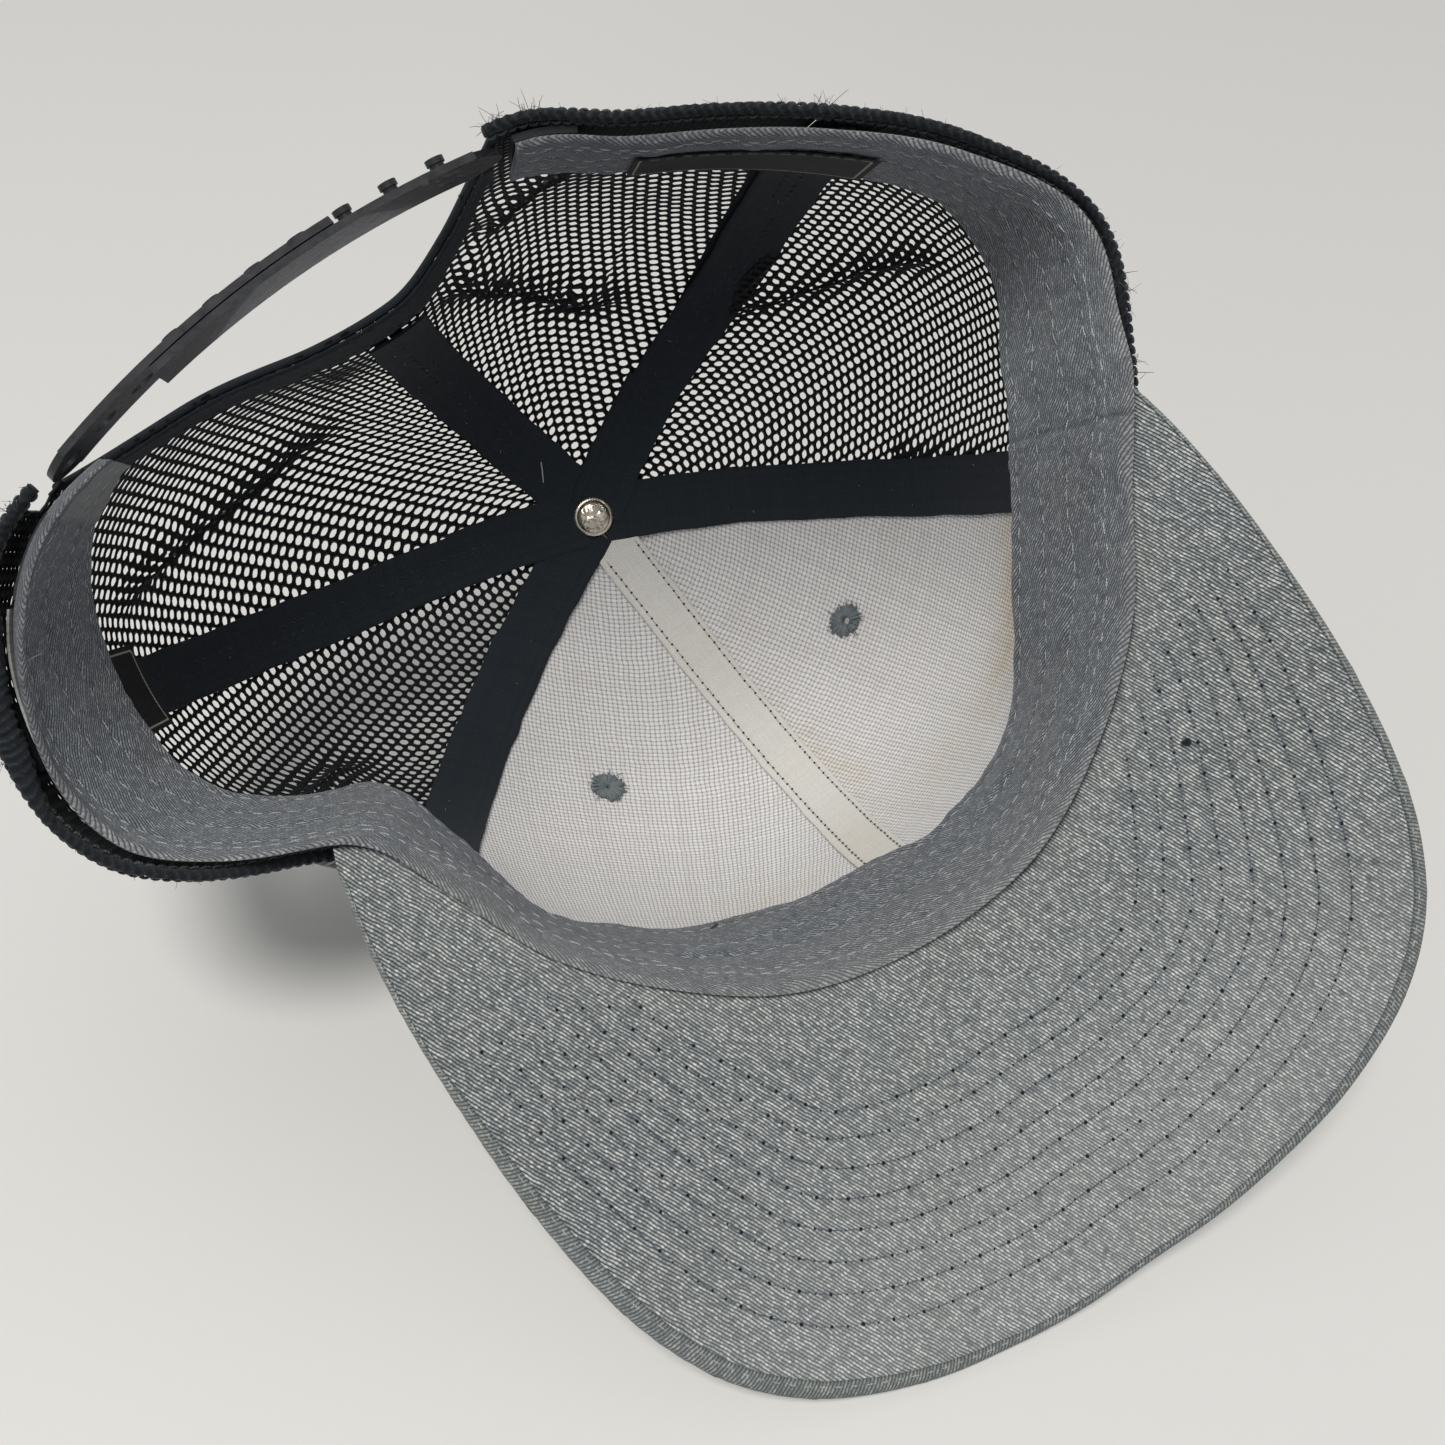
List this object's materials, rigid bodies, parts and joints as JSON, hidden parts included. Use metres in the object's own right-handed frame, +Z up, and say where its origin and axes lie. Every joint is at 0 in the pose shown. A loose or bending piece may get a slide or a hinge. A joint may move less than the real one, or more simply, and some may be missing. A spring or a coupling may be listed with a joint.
{
  "type": "trucker mesh cap",
  "caption": "Snapback cap with a stiff twill front, curved visor, open net sides and back, fabric sweatband and a pegged plastic strap.",
  "frame": {"origin": "centre of the head opening, in the plane of the crown's bottom edge", "axes": "+Z up through the crown, -Y towards the visor tip, +X towards the wearer's left; the cap stands as it rests on a table, on its visor corners and back edge"},
  "size_m": [0.2091, 0.2367, 0.1304],
  "materials": {
    "heather_twill": "heathered blue-grey twill, matte",
    "buckram": "stiff off-white open plain weave",
    "black_mesh": "black polyester net with round holes",
    "pale_tape": "off-white woven tape with stitched edges",
    "black_tape": "black woven seam tape",
    "black_hem": "black rolled hem with chain stitch",
    "band_twill": "slate grey twill with light stitch rows",
    "backing": "white non-woven backing",
    "visor_board": "moulded polyethylene board",
    "button_cover": "black woven cover",
    "rivet_metal": "nickel plated steel, lightly worn",
    "eyelet_thread": "slate grey satin stitch thread",
    "strap_plastic": "black glossy polyethylene",
    "label_weave": "black woven label with a pale border line"
  },
  "bodies": {
    "crown": {"front_panel_left": "heather_twill", "front_panel_right": "heather_twill", "buckram_left": "buckram", "buckram_right": "buckram", "side_mesh_left": "black_mesh", "side_mesh_right": "black_mesh", "back_mesh_left": "black_mesh", "back_mesh_right": "black_mesh", "front_center_seam_tape": "pale_tape", "front_side_seam_tape_left": "black_tape", "front_side_seam_tape_right": "black_tape", "side_back_seam_tape_left": "black_tape", "side_back_seam_tape_right": "black_tape", "back_center_seam_tape": "black_tape", "back_opening_binding": "black_tape", "mesh_hem": "black_hem", "sweatband": "band_twill", "sweatband_backing": "backing", "visor_under_cover": "heather_twill", "visor_board": "visor_board", "visor_top_cover": "heather_twill", "crown_button": "button_cover", "button_rivet": "rivet_metal", "eyelet_left": "eyelet_thread", "eyelet_right": "eyelet_thread", "peg_strap_sewn_end": "strap_plastic", "hole_strap_sewn_end": "strap_plastic", "woven_label": "label_weave"},
    "peg_strap": {"snap_strap_pegs": "strap_plastic"},
    "hole_strap": {"snap_strap_holes": "strap_plastic"},
    "care_label": {"care_label": "label_weave"}
  },
  "joints": [
    {"name": "peg_strap_swing", "type": "hinge", "parent": "crown", "child": "peg_strap", "pos_m": [-0.014, 0.0704, 0.00305], "axis": [0, -0.1132, -0.9936], "range_deg": [0, 45]},
    {"name": "hole_strap_swing", "type": "hinge", "parent": "crown", "child": "hole_strap", "pos_m": [0.0835, 0.06285, 0.00391], "axis": [0, -0.1132, -0.9936], "range_deg": [0, 70]},
    {"name": "care_label_flip", "type": "hinge", "parent": "crown", "child": "care_label", "pos_m": [0.09696, 0.03091, 0.02889], "axis": [0.1107, -0.9875, 0.1125], "range_deg": [0, 60]}
  ]
}
